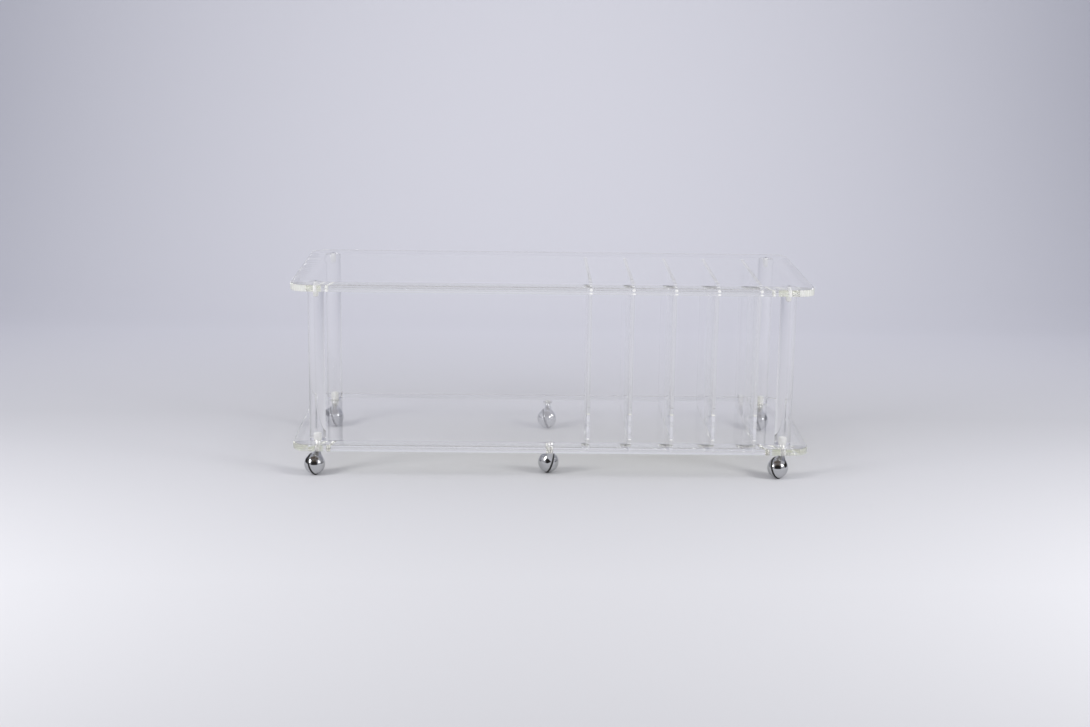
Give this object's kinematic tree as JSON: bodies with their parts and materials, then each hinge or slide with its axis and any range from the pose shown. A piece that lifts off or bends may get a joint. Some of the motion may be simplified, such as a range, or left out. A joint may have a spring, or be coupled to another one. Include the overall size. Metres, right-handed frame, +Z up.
{
  "type": "magazine rack",
  "caption": "Low clear acrylic magazine rack: a rounded top and base on round posts, upright dividers in one half, an open bay in the other, and chrome ball casters.",
  "frame": {"origin": "on the floor, under the middle of the top panel", "axes": "+X along the length towards the dividers, +Y to the back, +Z up"},
  "size_m": [1.016, 0.432, 0.3862],
  "materials": {
    "clear_panel": "clear cast acrylic sheet with polished edges",
    "clear_post": "clear acrylic rod, polished",
    "clear_divider": "clear acrylic sheet with polished edges",
    "screw_steel": "plated steel",
    "stem_steel": "zinc-plated steel",
    "bush_nylon": "natural nylon",
    "caster_chrome": "polished chrome plate on a zinc casting",
    "axle_steel": "plain steel",
    "core_nylon": "moulded black nylon",
    "tyre_rubber": "black rubber"
  },
  "bodies": {
    "rack": {"base_panel": "clear_panel", "top_panel": "clear_panel", "post_front_left": "clear_post", "post_front_right": "clear_post", "post_rear_left": "clear_post", "post_rear_right": "clear_post", "divider_1": "clear_divider", "divider_2": "clear_divider", "divider_3": "clear_divider", "divider_4": "clear_divider", "divider_5": "clear_divider", "top_screws": "screw_steel", "caster_front_left_stem": "stem_steel", "caster_front_middle_stem": "stem_steel", "caster_front_right_stem": "stem_steel", "caster_rear_left_stem": "stem_steel", "caster_rear_middle_stem": "stem_steel", "caster_rear_right_stem": "stem_steel"},
    "swivel_front_left": {"caster_front_left_bush": "bush_nylon", "caster_front_left_hood": "caster_chrome", "caster_front_left_axle": "axle_steel"},
    "wheel_front_left": {"caster_front_left_core": "core_nylon", "caster_front_left_tyre": "tyre_rubber", "caster_front_left_dome": "caster_chrome"},
    "swivel_front_middle": {"caster_front_middle_bush": "bush_nylon", "caster_front_middle_hood": "caster_chrome", "caster_front_middle_axle": "axle_steel"},
    "wheel_front_middle": {"caster_front_middle_core": "core_nylon", "caster_front_middle_tyre": "tyre_rubber", "caster_front_middle_dome": "caster_chrome"},
    "swivel_front_right": {"caster_front_right_bush": "bush_nylon", "caster_front_right_hood": "caster_chrome", "caster_front_right_axle": "axle_steel"},
    "wheel_front_right": {"caster_front_right_core": "core_nylon", "caster_front_right_tyre": "tyre_rubber", "caster_front_right_dome": "caster_chrome"},
    "swivel_rear_left": {"caster_rear_left_bush": "bush_nylon", "caster_rear_left_hood": "caster_chrome", "caster_rear_left_axle": "axle_steel"},
    "wheel_rear_left": {"caster_rear_left_core": "core_nylon", "caster_rear_left_tyre": "tyre_rubber", "caster_rear_left_dome": "caster_chrome"},
    "swivel_rear_middle": {"caster_rear_middle_bush": "bush_nylon", "caster_rear_middle_hood": "caster_chrome", "caster_rear_middle_axle": "axle_steel"},
    "wheel_rear_middle": {"caster_rear_middle_core": "core_nylon", "caster_rear_middle_tyre": "tyre_rubber", "caster_rear_middle_dome": "caster_chrome"},
    "swivel_rear_right": {"caster_rear_right_bush": "bush_nylon", "caster_rear_right_hood": "caster_chrome", "caster_rear_right_axle": "axle_steel"},
    "wheel_rear_right": {"caster_rear_right_core": "core_nylon", "caster_rear_right_tyre": "tyre_rubber", "caster_rear_right_dome": "caster_chrome"}
  },
  "joints": [
    {"name": "front_left_swivel", "type": "hinge", "parent": "rack", "child": "swivel_front_left", "pos_m": [-0.461, -0.169, 0.056], "axis": [0, 0, 1], "continuous": true},
    {"name": "front_left_roll", "type": "hinge", "parent": "swivel_front_left", "child": "wheel_front_left", "pos_m": [-0.46662, -0.18291, 0.02175], "axis": [-0.8818, 0.3563, -0.309], "continuous": true},
    {"name": "front_middle_swivel", "type": "hinge", "parent": "rack", "child": "swivel_front_middle", "pos_m": [0, -0.169, 0.056], "axis": [0, 0, 1], "continuous": true},
    {"name": "front_middle_roll", "type": "hinge", "parent": "swivel_front_middle", "child": "wheel_front_middle", "pos_m": [-0.00363, -0.15445, 0.02175], "axis": [0.9228, 0.2301, -0.309], "continuous": true},
    {"name": "front_right_swivel", "type": "hinge", "parent": "rack", "child": "swivel_front_right", "pos_m": [0.461, -0.169, 0.056], "axis": [0, 0, 1], "continuous": true},
    {"name": "front_right_roll", "type": "hinge", "parent": "swivel_front_right", "child": "wheel_front_right", "pos_m": [0.45218, -0.18113, 0.02175], "axis": [-0.7694, 0.559, -0.309], "continuous": true},
    {"name": "rear_left_swivel", "type": "hinge", "parent": "rack", "child": "swivel_rear_left", "pos_m": [-0.461, 0.169, 0.056], "axis": [0, 0, 1], "continuous": true},
    {"name": "rear_left_roll", "type": "hinge", "parent": "swivel_rear_left", "child": "wheel_rear_left", "pos_m": [-0.46126, 0.154, 0.02175], "axis": [-0.9509, 0.0166, -0.309], "continuous": true},
    {"name": "rear_middle_swivel", "type": "hinge", "parent": "rack", "child": "swivel_rear_middle", "pos_m": [0, 0.169, 0.056], "axis": [0, 0, 1], "continuous": true},
    {"name": "rear_middle_roll", "type": "hinge", "parent": "swivel_rear_middle", "child": "wheel_rear_middle", "pos_m": [-0.00209, 0.15415, 0.02175], "axis": [-0.9418, 0.1324, -0.309], "continuous": true},
    {"name": "rear_right_swivel", "type": "hinge", "parent": "rack", "child": "swivel_rear_right", "pos_m": [0.461, 0.169, 0.056], "axis": [0, 0, 1], "continuous": true},
    {"name": "rear_right_roll", "type": "hinge", "parent": "swivel_rear_right", "child": "wheel_rear_right", "pos_m": [0.45839, 0.15423, 0.02175], "axis": [-0.9366, 0.1651, -0.309], "continuous": true}
  ]
}
